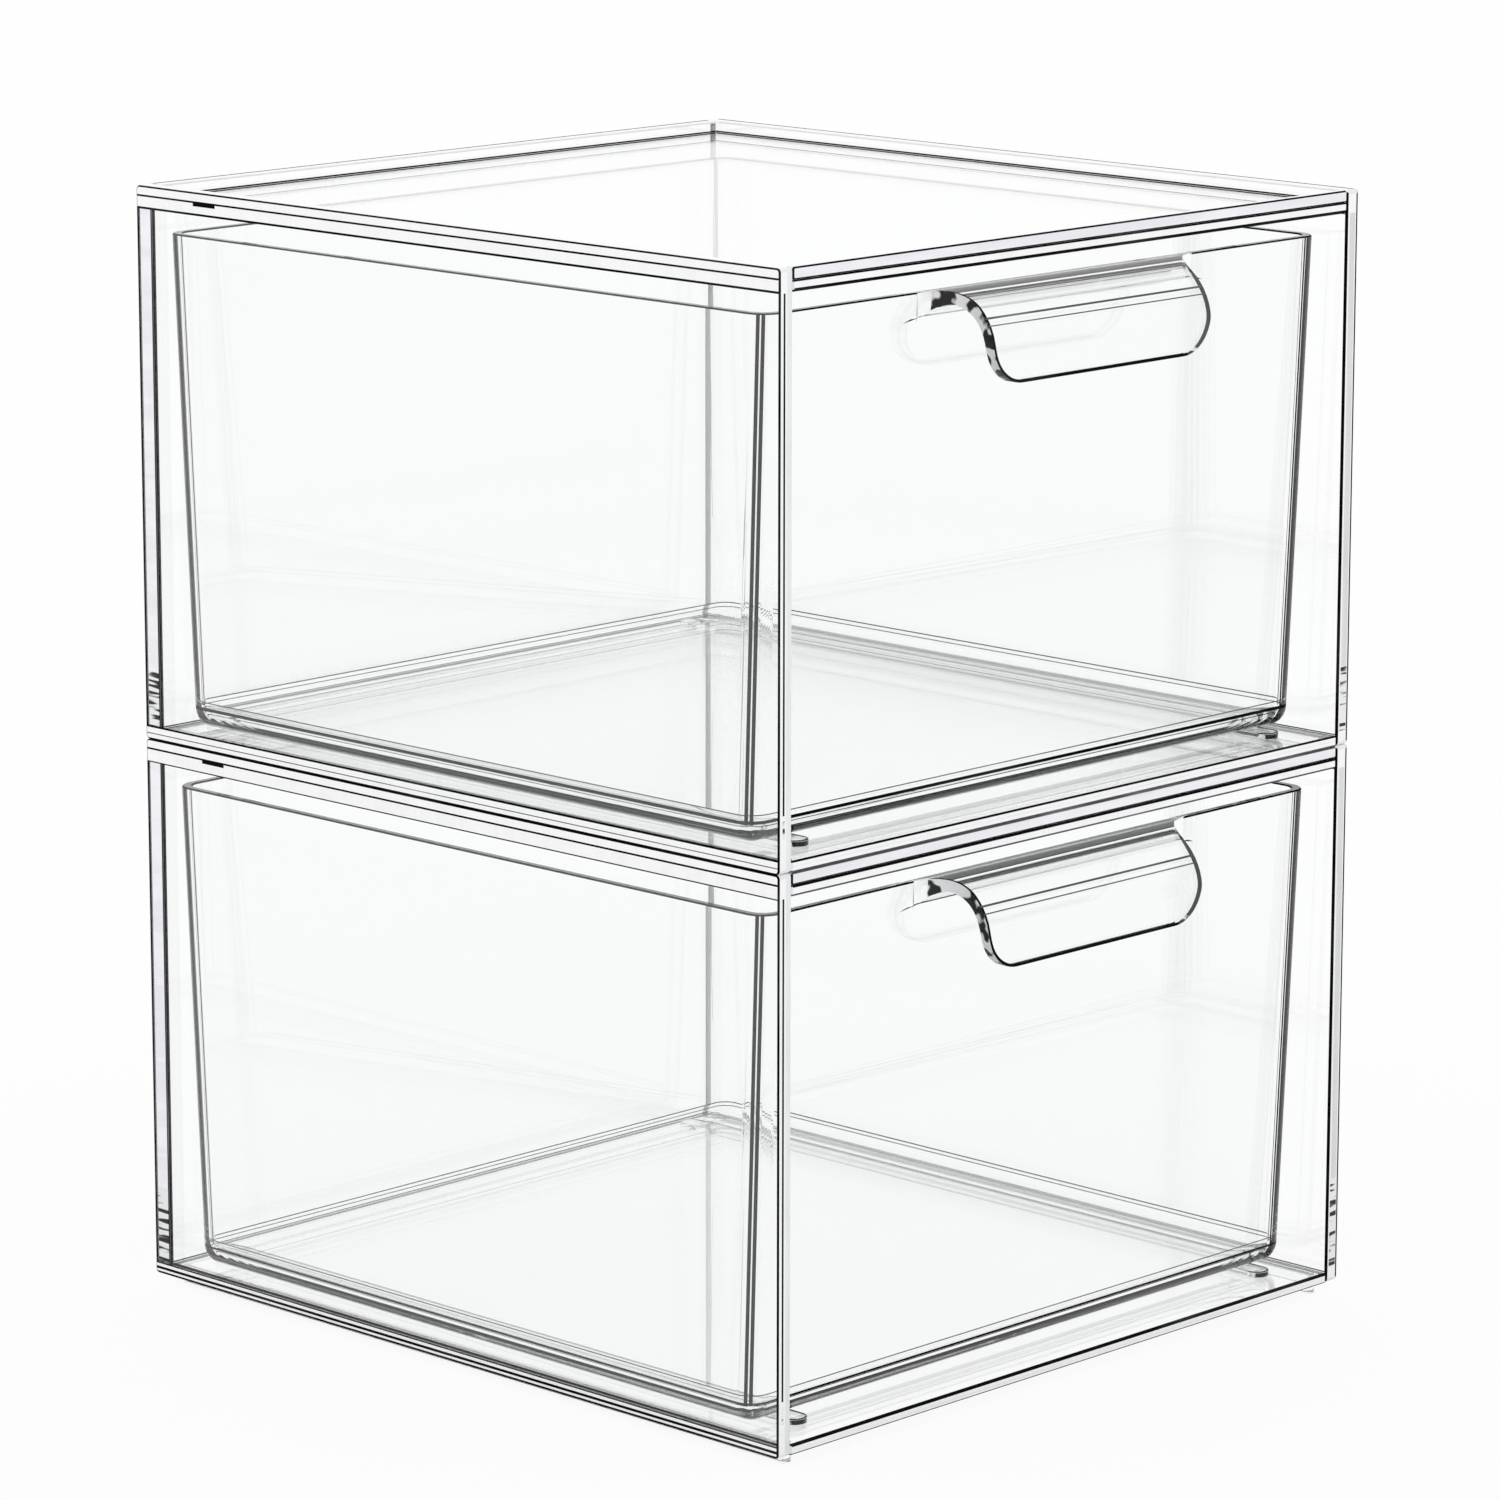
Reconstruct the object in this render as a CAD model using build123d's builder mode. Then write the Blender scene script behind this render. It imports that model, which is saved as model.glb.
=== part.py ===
"""Two stacked clear drawer units: each is a bonded sheet casing round one moulded pull-out tray."""
from build123d import *
from math import acos, atan, degrees, radians, sin
import os

os.makedirs("parts", exist_ok=True)

# One unit, in millimetres: the same unit stands twice, one on the other
unit_width = 165.0
unit_depth = 177.0
unit_height = 112.0
unit_names = ["lower", "upper"]

# Clear sheet that the casing is bonded from
side_thickness = 3.5
back_thickness = 3.0
panel_thickness = 2.2
lip_height = 2.4
lip_depth = 1.8
sheet_corner = 0.8
sheet_edge = 0.3

# Ribs under the casing: feet on a table, and the key that drops inside the lip of the unit below
stack_rib_width = 2.8
stack_rib_height = 2.2
stack_rib_gap = 0.3
stack_rib_edge = 0.7

# Ribs on the casing floor that the tray slides on
slide_rib_width = 5.0
slide_rib_height = 1.2
slide_rib_inset = 14.3
slide_rib_setback = 7.0
slide_rib_edge = 0.5

# Tray of the drawer: its walls lean in towards its floor
tray_side_gap = 0.5
tray_front_setback = 6.2
tray_back_gap = 2.5
tray_head_gap = 4.6
tray_wall = 1.8
tray_floor = 2.2
tray_side_lean = 0.85
tray_end_lean = 3.85
tray_corner = 4.2
tray_foot_round = 3.8
tray_inner_corner = 3.2
tray_inner_round = 2.8
tray_rim_edge = 0.3

# Waterfall pull: a flap that leaves the front rim level, bends down and ends in round corners
pull_width = 62.2
pull_flat = 0.3
pull_bend = 11.7
pull_height = 17.3
pull_thickness = 2.1
pull_corner = 8.0
pull_flare = 8.1
pull_root_round = 3.0

# Places worked out from the sizes above; the origin is under the middle of the whole object
pull_reach = pull_flat + pull_bend - tray_front_setback
front = pull_reach / 2 - unit_depth / 2
back = front + unit_depth
middle = (front + back) / 2
inner_width = unit_width - 2 * side_thickness
inner_depth = unit_depth - back_thickness
panel_middle = front + inner_depth / 2

tray_foot_height = panel_thickness + slide_rib_height
tray_rim_height = unit_height - lip_height - panel_thickness - tray_head_gap
tray_height = tray_rim_height - tray_foot_height
tray_front = front + tray_front_setback
tray_width = inner_width - 2 * tray_side_gap
tray_depth = inner_depth - tray_front_setback - tray_back_gap
tray_middle = tray_front + tray_depth / 2
tray_side_angle = degrees(atan(tray_side_lean / tray_height))
tray_end_angle = degrees(atan(tray_end_lean / tray_height))


def save(piece, label):
    """Name the finished piece and write it under its node's name."""
    piece.part.label = label
    export_step(piece.part, f"parts/{label}.step")


def side_wall(label, foot, outer_face_x):
    """Full-height, full-depth sheet; its front end shows as a post beside the opening."""
    is_right = outer_face_x > 0
    with BuildPart() as wall:
        with BuildSketch(Plane.YZ.offset(outer_face_x)):
            with Locations((middle, foot + unit_height / 2)):
                RectangleRounded(unit_depth, unit_height, sheet_corner)
        extrude(amount=-side_thickness if is_right else side_thickness)
        outer_face = wall.faces().sort_by(Axis.X)[-1 if is_right else 0]
        chamfer(outer_face.edges(), length=sheet_edge)
    save(wall, label)


def back_wall(label, foot):
    """Full-height sheet between the side walls; its upper edge is the back of the lip."""
    with BuildPart() as wall:
        with BuildSketch(Plane.XY.offset(foot)):
            with Locations((0, back - back_thickness / 2)):
                Rectangle(inner_width, back_thickness)
        extrude(amount=unit_height)
        outer_face = wall.faces().sort_by(Axis.Y)[-1]
        fillet(outer_face.edges().filter_by(Axis.X), radius=sheet_corner)
    save(wall, label)


def floor_panel(label, foot):
    """Casing floor, flush with the feet of the walls."""
    with BuildPart() as panel:
        with BuildSketch(Plane.XY.offset(foot)):
            with Locations((0, panel_middle)):
                Rectangle(inner_width, inner_depth)
        extrude(amount=panel_thickness)
        front_face = panel.faces().sort_by(Axis.Y)[0]
        fillet(front_face.edges().filter_by(Axis.X).sort_by(Axis.Z)[0], radius=sheet_corner)
    save(panel, label)


def top_panel(label, foot):
    """Casing top, set below the lip so that the next unit's ribs drop in."""
    with BuildPart() as panel:
        with BuildSketch(Plane.XY.offset(foot + unit_height - lip_height - panel_thickness)):
            with Locations((0, panel_middle)):
                Rectangle(inner_width, inner_depth)
        extrude(amount=panel_thickness)
    save(panel, label)


def front_lip(label, foot):
    """Strip on the front edge of the top panel that closes the lip between the side walls."""
    with BuildPart() as strip:
        with BuildSketch(Plane.XY.offset(foot + unit_height - lip_height)):
            with Locations((0, front + lip_depth / 2)):
                Rectangle(inner_width, lip_depth)
        extrude(amount=lip_height)
        top_edges = strip.faces().sort_by(Axis.Z)[-1].edges().filter_by(Axis.X).sort_by(Axis.Y)
        fillet(top_edges[0], radius=sheet_corner)
    save(strip, label)


def stacking_rib(label, foot, side):
    """Round-ended bar under the floor panel, just inside the line of the lip below."""
    rib_x = side * (inner_width / 2 - stack_rib_gap - stack_rib_width / 2)
    rib_start = front + lip_depth + stack_rib_gap
    rib_end = back - back_thickness - stack_rib_gap
    with BuildPart() as rib:
        with BuildSketch(Plane.XY.offset(foot)):
            with Locations((rib_x, (rib_start + rib_end) / 2)):
                SlotOverall(rib_end - rib_start, stack_rib_width, rotation=90)
        extrude(amount=-stack_rib_height)
        chamfer(rib.faces().sort_by(Axis.Z)[0].edges(), length=stack_rib_edge)
    save(rib, label)


def slide_rib(label, foot, side):
    """Round-ended bar on the floor panel that carries the tray."""
    rib_x = side * (unit_width / 2 - slide_rib_inset)
    rib_start = front + slide_rib_setback
    rib_end = back - back_thickness - tray_back_gap
    with BuildPart() as rib:
        with BuildSketch(Plane.XY.offset(foot + panel_thickness)):
            with Locations((rib_x, (rib_start + rib_end) / 2)):
                SlotOverall(rib_end - rib_start, slide_rib_width, rotation=90)
        extrude(amount=slide_rib_height)
        chamfer(rib.faces().sort_by(Axis.Z)[-1].edges(), length=slide_rib_edge)
    save(rib, label)


def leaning_block(rim, low_z, high_z, inset, corner):
    """Block with the tray's leaning walls, inset from its outer face; low_z and high_z are heights from the rim."""
    with BuildPart() as block:
        with BuildSketch(Plane.XY.offset(rim + low_z)):
            with Locations((0, tray_middle)):
                Rectangle(tray_width - 2 * inset, tray_depth - 2 * inset)
        extrude(amount=high_z - low_z)
        draft(block.faces().filter_by(Axis.X), Plane.XY.offset(rim), -tray_side_angle)
        walls = block.faces().sort_by(Axis.Y)
        draft([walls[0], walls[-1]], Plane.XY.offset(rim), -tray_end_angle)
        corners = block.edges().filter_by(lambda edge: abs(edge.tangent_at(0.5).Z) > 0.5)
        fillet(corners, radius=corner)
    return block.part


def pull_plan(low_y, high_y, low_z):
    """Pull seen from above: straight sides that flare into the tray's front wall."""
    half = pull_width / 2
    with BuildSketch(Plane.XY.offset(low_z)) as plan:
        with BuildLine():
            Line((0, low_y), (half, low_y))
            Line((half, low_y), (half, tray_front - pull_flare))
            CenterArc((half + pull_flare, tray_front - pull_flare), pull_flare, 90, 90)
            Polyline((half + pull_flare, tray_front), (half + pull_flare, high_y), (0, high_y))
            mirror(about=Plane.YZ)
        make_face()
    return plan.sketch


def pull_front(low_z, high_z, back_y):
    """Pull seen from the front: as wide as its flares above, with large round corners below."""
    half = pull_width / 2
    wide = half + pull_flare + 1
    step_z = low_z + pull_corner
    with BuildSketch(Plane.XZ.offset(-back_y)) as view:
        with BuildLine():
            Line((0, low_z), (half - pull_corner, low_z))
            CenterArc((half - pull_corner, step_z), pull_corner, 270, 90)
            Polyline((half, step_z), (wide, step_z), (wide, high_z), (0, high_z))
            mirror(about=Plane.YZ)
        make_face()
    return view.sketch


def pull_sheet(rim):
    """The pull's bent section, rounded into the wall behind it and cut to its two outlines."""
    bend_y = tray_front - pull_flat
    bend_z = rim - pull_bend
    lower_z = rim - pull_height
    outer_y = bend_y - pull_bend
    inner_y = outer_y + pull_thickness
    inner_bend = pull_bend - pull_thickness
    back_y = tray_front + tray_wall / 2
    wall_y = tray_front + tray_end_lean * (pull_thickness + pull_root_round) / tray_height

    # The root arc touches the wall and, from inside, the bend's inner arc
    root_y = wall_y - pull_root_round
    reach = inner_bend - pull_root_round
    meet_angle = degrees(acos((root_y - bend_y) / reach))
    root_z = bend_z + reach * sin(radians(meet_angle))

    half_span = pull_width / 2 + pull_flare
    plan = pull_plan(outer_y - 1, back_y + 1, lower_z - 1)
    view = pull_front(lower_z, rim + 1, back_y + 1)
    with BuildPart() as sheet:
        with BuildSketch(Plane.YZ):
            with BuildLine():
                Polyline((wall_y, root_z), (back_y, root_z), (back_y, rim), (bend_y, rim))
                CenterArc((bend_y, bend_z), pull_bend, 90, 90)
                Polyline((outer_y, bend_z), (outer_y, lower_z), (inner_y, lower_z), (inner_y, bend_z))
                CenterArc((bend_y, bend_z), inner_bend, meet_angle, 180 - meet_angle)
                CenterArc((root_y, root_z), pull_root_round, 0, meet_angle)
            make_face()
        extrude(amount=half_span, both=True)
        extrude(plan, amount=pull_height + 2, mode=Mode.INTERSECT)
        extrude(view, amount=back_y - outer_y + 2, mode=Mode.INTERSECT)
    return sheet.part


def drawer(label, foot):
    """Tray and pull, moulded as one piece."""
    rim = foot + tray_rim_height
    outside = leaning_block(rim, -tray_height, 0, 0, tray_corner)
    inside = leaning_block(rim, tray_floor - tray_height, tray_rim_edge, tray_wall, tray_inner_corner)
    sheet = pull_sheet(rim)
    with BuildPart() as cavity:
        add(inside)
        fillet(cavity.faces().sort_by(Axis.Z)[0].edges(), radius=tray_inner_round)
    with BuildPart() as tray:
        add(outside)
        fillet(tray.faces().sort_by(Axis.Z)[0].edges(), radius=tray_foot_round)
        add(cavity.part, mode=Mode.SUBTRACT)
        chamfer(tray.faces().sort_by(Axis.Z)[-1].edges(), length=tray_rim_edge)
        add(sheet)
    save(tray, label)


for level, unit in enumerate(unit_names):
    unit_foot = stack_rib_height + level * unit_height
    side_wall(f"{unit}_left_wall", unit_foot, -unit_width / 2)
    side_wall(f"{unit}_right_wall", unit_foot, unit_width / 2)
    back_wall(f"{unit}_back_wall", unit_foot)
    floor_panel(f"{unit}_floor_panel", unit_foot)
    top_panel(f"{unit}_top_panel", unit_foot)
    front_lip(f"{unit}_front_lip", unit_foot)
    stacking_rib(f"{unit}_left_stacking_rib", unit_foot, -1)
    stacking_rib(f"{unit}_right_stacking_rib", unit_foot, 1)
    slide_rib(f"{unit}_left_slide_rib", unit_foot, -1)
    slide_rib(f"{unit}_right_slide_rib", unit_foot, 1)
    drawer(f"{unit}_drawer", unit_foot)
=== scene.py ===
"""Clear stacking drawer organizer: two bonded sheet casings and their moulded trays on a white floor."""

import logging
import math
from dataclasses import dataclass, field
from enum import Enum, IntEnum
from typing import Iterable

import bmesh
import bpy
from mathutils import Matrix, Quaternion, Vector

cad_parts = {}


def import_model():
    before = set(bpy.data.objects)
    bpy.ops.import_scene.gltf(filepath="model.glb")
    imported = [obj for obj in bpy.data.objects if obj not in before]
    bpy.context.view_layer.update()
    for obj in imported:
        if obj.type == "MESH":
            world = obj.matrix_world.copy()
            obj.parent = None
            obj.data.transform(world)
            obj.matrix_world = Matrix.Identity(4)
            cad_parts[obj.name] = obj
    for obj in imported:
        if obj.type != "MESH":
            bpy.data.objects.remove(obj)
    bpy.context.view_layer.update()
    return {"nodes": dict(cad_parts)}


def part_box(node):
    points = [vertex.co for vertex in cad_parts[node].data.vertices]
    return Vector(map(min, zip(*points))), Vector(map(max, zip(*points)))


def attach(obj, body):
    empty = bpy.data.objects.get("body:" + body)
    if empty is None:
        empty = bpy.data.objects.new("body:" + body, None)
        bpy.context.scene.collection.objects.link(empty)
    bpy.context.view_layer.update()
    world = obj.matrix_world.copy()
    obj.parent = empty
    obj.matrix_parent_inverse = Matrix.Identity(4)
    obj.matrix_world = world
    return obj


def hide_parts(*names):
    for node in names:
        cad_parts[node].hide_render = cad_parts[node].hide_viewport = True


log = logging.getLogger("organizer")

MM = 0.001
# How far bonded neighbours stand apart, so that no two clear faces lie in one plane
JOINT_GAP = 0.015 * MM
# A cut that passes a corner within this distance goes through it
MERGE = 0.001 * MM
# Faces of at least this area are shaded flat
FLAT_AREA = 200.0 * MM * MM
# A face whose middle is this near to a sheet's end belongs to that end
NEAR_END = 0.5 * MM
# The least part along an axis of the unit normal of a face that looks along it, and of an edge's run
FACE_ALONG, EDGE_ALONG = 0.99, 0.999
ACRYLIC_IOR = 1.49
UP = Vector((0.0, 0.0, 1.0))
# Most of a noise's values lie between these two
NOISE_LOW, NOISE_HIGH = 0.3, 0.7
# A noise's levels of detail, and its stretch when it is the same along every axis
SMOOTH, MIXED, FINE = 1.0, 2.0, 3.0
EVEN = (1.0, 1.0, 1.0)
PURE_WHITE = (1.0, 1.0, 1.0)

Span = tuple[float, float]
Colour = tuple[float, float, float]


class Unit(Enum):
    """The two units of the stack, by the first word of their nodes' names."""

    LOWER = "lower"
    UPPER = "upper"


class Side(IntEnum):
    """Left or right seen from the front, as the sign of X."""

    LEFT = -1
    RIGHT = 1

    @property
    def word(self) -> str:
        """The side's word in a node's name."""
        return self.name.lower()


class End(IntEnum):
    """Front or back, as the sign of Y."""

    FRONT = -1
    BACK = 1


class Zone(IntEnum):
    """Material slots of every clear piece, in order: the clear face, then opaque colours painted for the
    light and shade that its edges and joints show.
    """

    FACE = 0
    # CUT, WHITE and SHADE are painted light on cut faces, plain, bright and shaded; LINE and FAINT are
    # painted dark lines; BAND is a pale tinted band with painted shade; STREAK and PULL_EDGE are painted dark
    # bars between painted highlights
    CUT = 1
    WHITE = 2
    SHADE = 3
    LINE = 4
    FAINT = 5
    BAND = 6
    STREAK = 7
    PULL_EDGE = 8


class Look(Enum):
    """The way a flat face looks, as its axis and the sign along it."""

    LEFT = (0, -1)
    RIGHT = (0, 1)
    FRONT = (1, -1)
    BACK = (1, 1)
    FOOT = (2, -1)
    TOP = (2, 1)


class Slot(Enum):
    """Material slots of the record."""

    SHEET = "clear_sheet"
    RIB = "clear_rib"
    TRAY = "clear_tray"


# Clear plastic and painted light


def new_material(name: str) -> tuple[bpy.types.Material, bpy.types.ShaderNode]:
    """Makes a material that holds one Principled shader.

    Args:
        name: The material's name.

    Returns:
        The material and its shader node.
    """
    material = bpy.data.materials.new(name)
    material.use_nodes = True
    return material, material.node_tree.nodes["Principled BSDF"]


def add_noise(tree: bpy.types.NodeTree, stretch: tuple[float, float, float], scale: float,
              detail: float) -> bpy.types.NodeSocket:
    """Adds a noise pattern in object coordinates.

    Args:
        tree: The material's node tree.
        stretch: How much denser the pattern is along X, Y and Z.
        scale: The pattern's scale, in features per metre.
        detail: The noise's detail level.

    Returns:
        The noise's value, from 0 to 1.
    """
    place = tree.nodes.new("ShaderNodeTexCoord")
    mapping = tree.nodes.new("ShaderNodeMapping")
    mapping.inputs["Scale"].default_value = stretch
    noise = tree.nodes.new("ShaderNodeTexNoise")
    noise.inputs["Scale"].default_value = scale
    noise.inputs["Detail"].default_value = detail
    tree.links.new(place.outputs["Object"], mapping.inputs["Vector"])
    tree.links.new(mapping.outputs["Vector"], noise.inputs["Vector"])
    return noise.outputs["Fac"]


def add_range(tree: bpy.types.NodeTree, source: bpy.types.NodeSocket, low: float,
              high: float) -> bpy.types.NodeSocket:
    """Spreads a noise value over a range.

    Args:
        tree: The material's node tree.
        source: The noise's value.
        low: What the noise's low end becomes.
        high: What the noise's high end becomes.

    Returns:
        The value in that range.
    """
    spread = tree.nodes.new("ShaderNodeMapRange")
    spread.inputs["From Min"].default_value = NOISE_LOW
    spread.inputs["From Max"].default_value = NOISE_HIGH
    spread.inputs["To Min"].default_value = low
    spread.inputs["To Max"].default_value = high
    tree.links.new(source, spread.inputs["Value"])
    return spread.outputs["Result"]


def add_ramp(tree: bpy.types.NodeTree, source: bpy.types.NodeSocket, places: Span,
             colours: tuple[Colour, Colour]) -> bpy.types.NodeSocket:
    """Turns a value into a colour that changes between two places.

    Args:
        tree: The node tree.
        source: The value.
        places: Where the change starts and ends.
        colours: The colours before and after it.

    Returns:
        The colour.
    """
    ramp = tree.nodes.new("ShaderNodeValToRGB")
    for index in (0, 1):
        ramp.color_ramp.elements[index].position = places[index]
        ramp.color_ramp.elements[index].color = (*colours[index], 1.0)
    tree.links.new(source, ramp.inputs["Fac"])
    return ramp.outputs["Color"]


def add_bump(tree: bpy.types.NodeTree, source: bpy.types.NodeSocket, shader: bpy.types.ShaderNode,
             strength: float, depth: float) -> None:
    """Waves a shader's surface by a noise.

    Args:
        tree: The material's node tree.
        source: The noise's value.
        shader: The shader whose surface waves.
        strength: The bump's strength.
        depth: The bump's depth, in metres.
    """
    bump = tree.nodes.new("ShaderNodeBump")
    bump.inputs["Strength"].default_value = strength
    bump.inputs["Distance"].default_value = depth
    tree.links.new(source, bump.inputs["Height"])
    tree.links.new(bump.outputs["Normal"], shader.inputs["Normal"])


@dataclass(frozen=True)
class ClearPlastic:
    """Clear acrylic, with the slight waviness and haze of a real surface."""

    name: str
    tint: Colour
    gloss: float = 0.22
    haze: float = 0.02
    haze_scale: float = 90.0
    wave: float = 0.05
    wave_depth: float = 0.05 * MM
    wave_scale: float = 24.0

    def build(self) -> bpy.types.Material:
        """Makes the material."""
        material, shader = new_material(self.name)
        tree = material.node_tree
        shader.inputs["Base Color"].default_value = (*self.tint, 1.0)
        shader.inputs["Transmission Weight"].default_value = 1.0
        shader.inputs["IOR"].default_value = ACRYLIC_IOR
        shader.inputs["Specular IOR Level"].default_value = self.gloss
        haze = add_noise(tree, EVEN, self.haze_scale, FINE)
        tree.links.new(add_range(tree, haze, 0.0, self.haze), shader.inputs["Roughness"])
        wave = add_noise(tree, EVEN, self.wave_scale, SMOOTH)
        add_bump(tree, wave, shader, self.wave, self.wave_depth)
        return material


@dataclass(frozen=True)
class EdgeLine:
    """The dark line that a polished arris shows on a white ground, uneven along its length: painted shade, an
    opaque dark colour in place of the refraction that darkens a clear arris.
    """

    name: str
    dark: Colour
    light: Colour
    fade: Span = (0.56, 0.74)
    fade_scale: float = 32.0
    sheen: Span = (0.3, 0.5)
    sheen_scale: float = 300.0
    gloss: float = 0.02

    def build(self) -> bpy.types.Material:
        """Makes the material."""
        material, shader = new_material(self.name)
        tree = material.node_tree
        fade = add_noise(tree, EVEN, self.fade_scale, MIXED)
        tree.links.new(add_ramp(tree, fade, self.fade, (self.dark, self.light)), shader.inputs["Base Color"])
        sheen = add_noise(tree, EVEN, self.sheen_scale, MIXED)
        tree.links.new(add_range(tree, sheen, *self.sheen), shader.inputs["Roughness"])
        shader.inputs["Specular IOR Level"].default_value = self.gloss
        return material


@dataclass(frozen=True)
class PaleEdge:
    """A cut edge of the sheet, painted an opaque, faintly streaked pale grey for the light that gathers in
    it: painted light.
    """

    name: str
    low: Colour
    high: Colour
    stretch: tuple[float, float, float] = (1.0, 1.0, 0.15)
    scale: float = 260.0
    shift: Span = (0.35, 0.65)
    sheen: Span = (0.18, 0.38)
    gloss: float = 0.25
    grain: float = 0.15
    grain_depth: float = 0.03 * MM

    def build(self) -> bpy.types.Material:
        """Makes the material."""
        material, shader = new_material(self.name)
        tree = material.node_tree
        noise = add_noise(tree, self.stretch, self.scale, FINE)
        tree.links.new(add_ramp(tree, noise, self.shift, (self.low, self.high)), shader.inputs["Base Color"])
        tree.links.new(add_range(tree, noise, *self.sheen), shader.inputs["Roughness"])
        shader.inputs["IOR"].default_value = ACRYLIC_IOR
        shader.inputs["Specular IOR Level"].default_value = self.gloss
        add_bump(tree, noise, shader, self.grain, self.grain_depth)
        return material


@dataclass(frozen=True)
class StreakedEnd:
    """A stretch of edge painted with short dark bars on a pale ground, for the ribs, seams and bends behind
    it that show through: painted shade and highlights.
    """

    name: str
    dark: Colour = (0.02, 0.02, 0.022)
    light: Colour = (0.86, 0.87, 0.88)
    bars: float = 950.0
    share: float = 0.42
    softness: float = 0.08
    sheen: Span = (0.2, 0.4)
    sheen_scale: float = 300.0
    gloss: float = 0.2
    stretch: tuple[float, float, float] = (0.12, 0.12, 1.0)

    def build(self) -> bpy.types.Material:
        """Makes the material."""
        material, shader = new_material(self.name)
        tree = material.node_tree
        bars = add_noise(tree, self.stretch, self.bars, SMOOTH)
        places = (self.share, self.share + self.softness)
        tree.links.new(add_ramp(tree, bars, places, (self.dark, self.light)), shader.inputs["Base Color"])
        sheen = add_noise(tree, EVEN, self.sheen_scale, MIXED)
        tree.links.new(add_range(tree, sheen, *self.sheen), shader.inputs["Roughness"])
        shader.inputs["Specular IOR Level"].default_value = self.gloss
        return material


@dataclass
class Finishes:
    """Every material of the organizer, made once and shared by its pieces: its clear plastic, and the opaque
    colours painted for the light and shade at its edges and joints.
    """

    face: bpy.types.Material = field(init=False)
    tray: bpy.types.Material = field(init=False)
    rib: bpy.types.Material = field(init=False)
    edges: list[bpy.types.Material] = field(init=False)

    def __post_init__(self) -> None:
        """Makes the materials."""
        self.face = ClearPlastic("sheet_face", (0.99, 0.995, 0.994), haze=0.003).build()
        self.tray = ClearPlastic("tray_moulding", (0.985, 0.99, 0.988), haze=0.006, wave=0.08,
                                 wave_scale=16.0).build()
        # The ribs' plastic is tinted greyer than the sheets': painted shade, for the grey that their round
        # ends show
        self.rib = ClearPlastic("rib_bar", (0.93, 0.94, 0.95), haze=0.04).build()
        self.edges = [
            # Cut faces painted pale grey for the light that gathers in them, as a plain, a brighter and a
            # shaded copy: painted light and shade
            PaleEdge("cut_edge", (0.80, 0.815, 0.83), (0.90, 0.91, 0.92)).build(),
            PaleEdge("bright_edge", (0.95, 0.955, 0.96), (0.99, 0.99, 0.99)).build(),
            PaleEdge("shaded_edge", (0.70, 0.715, 0.72), (0.78, 0.79, 0.79)).build(),
            # Black and grey lines painted for the dark that arrises and joints show by refraction: painted
            # shade
            EdgeLine("edge_line", (0.002, 0.002, 0.0025), (0.03, 0.03, 0.032)).build(),
            EdgeLine("faint_edge_line", (0.10, 0.10, 0.11), (0.34, 0.34, 0.36)).build(),
            # A pale bluish grey band where the plastic is seen through its edge and through the sheets
            # behind: the plastic's own tint, with painted shade
            PaleEdge("lip_band", (0.86, 0.86, 0.90), (0.95, 0.95, 0.98), stretch=(0.15, 0.15, 1.0)).build(),
            # Dark bars on a pale ground, painted for what shows through the posts' edges and the pull's left
            # edge: painted shade and highlights
            StreakedEnd("streaked_end").build(),
            StreakedEnd("pull_edge", bars=360.0, share=0.47, stretch=EVEN).build(),
        ]

    def for_sheet(self) -> list[bpy.types.Material]:
        """The casing sheets' materials, in the order of Zone."""
        return [self.face] + self.edges

    def for_rib(self) -> list[bpy.types.Material]:
        """The ribs' materials, in the order of Zone."""
        return [self.rib] + self.edges

    def for_tray(self) -> list[bpy.types.Material]:
        """The trays' materials, in the order of Zone."""
        return [self.tray] + self.edges


# Mesh helpers


def block(low: Vector, high: Vector) -> bmesh.types.BMesh:
    """Makes a box between two corners.

    Args:
        low: The lowest corner, in metres.
        high: The highest corner.

    Returns:
        A new bmesh that holds the box.
    """
    bm = bmesh.new()
    centre, size = (low + high) / 2, high - low
    place = Matrix.Translation(centre) @ Matrix.Diagonal((*size, 1.0))
    bmesh.ops.create_cube(bm, size=1.0, matrix=place)
    return bm


def bevel(bm: bmesh.types.BMesh, edges: Iterable[bmesh.types.BMEdge], offset: float,
          segments: int) -> list[bmesh.types.BMFace]:
    """Rounds edges.

    Args:
        bm: The mesh.
        edges: The edges to round.
        offset: How far the rounding reaches from each edge, in metres.
        segments: How many strips it has.

    Returns:
        The new faces.
    """
    made = bmesh.ops.bevel(bm, geom=list(edges), offset=offset, offset_type="OFFSET", segments=segments,
                           profile=0.5, affect="EDGES", material=-1, clamp_overlap=True)
    bm.normal_update()
    return made["faces"]


def along(edge: bmesh.types.BMEdge, axis: int) -> bool:
    """Whether an edge runs along an axis, given as 0, 1 or 2."""
    run = (edge.verts[1].co - edge.verts[0].co).normalized()
    return abs(run[axis]) > EDGE_ALONG


def faces_looking(bm: bmesh.types.BMesh, look: Look) -> list[bmesh.types.BMFace]:
    """The faces that look one way.

    Args:
        bm: The mesh.
        look: The way.

    Returns:
        The faces.
    """
    axis, sign = look.value
    return [face for face in bm.faces if face.normal[axis] * sign > FACE_ALONG]


def cut(bm: bmesh.types.BMesh, faces: list[bmesh.types.BMFace], point: Vector, normal: Vector) -> None:
    """Divides faces along a plane.

    Args:
        bm: The mesh.
        faces: The faces.
        point: A point on the plane.
        normal: The plane's normal.
    """
    parts = dict.fromkeys(faces)
    for face in faces:
        parts.update(dict.fromkeys((*face.edges, *face.verts)))
    bmesh.ops.bisect_plane(bm, geom=list(parts), dist=MERGE, plane_co=point, plane_no=normal)
    bm.normal_update()


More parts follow.
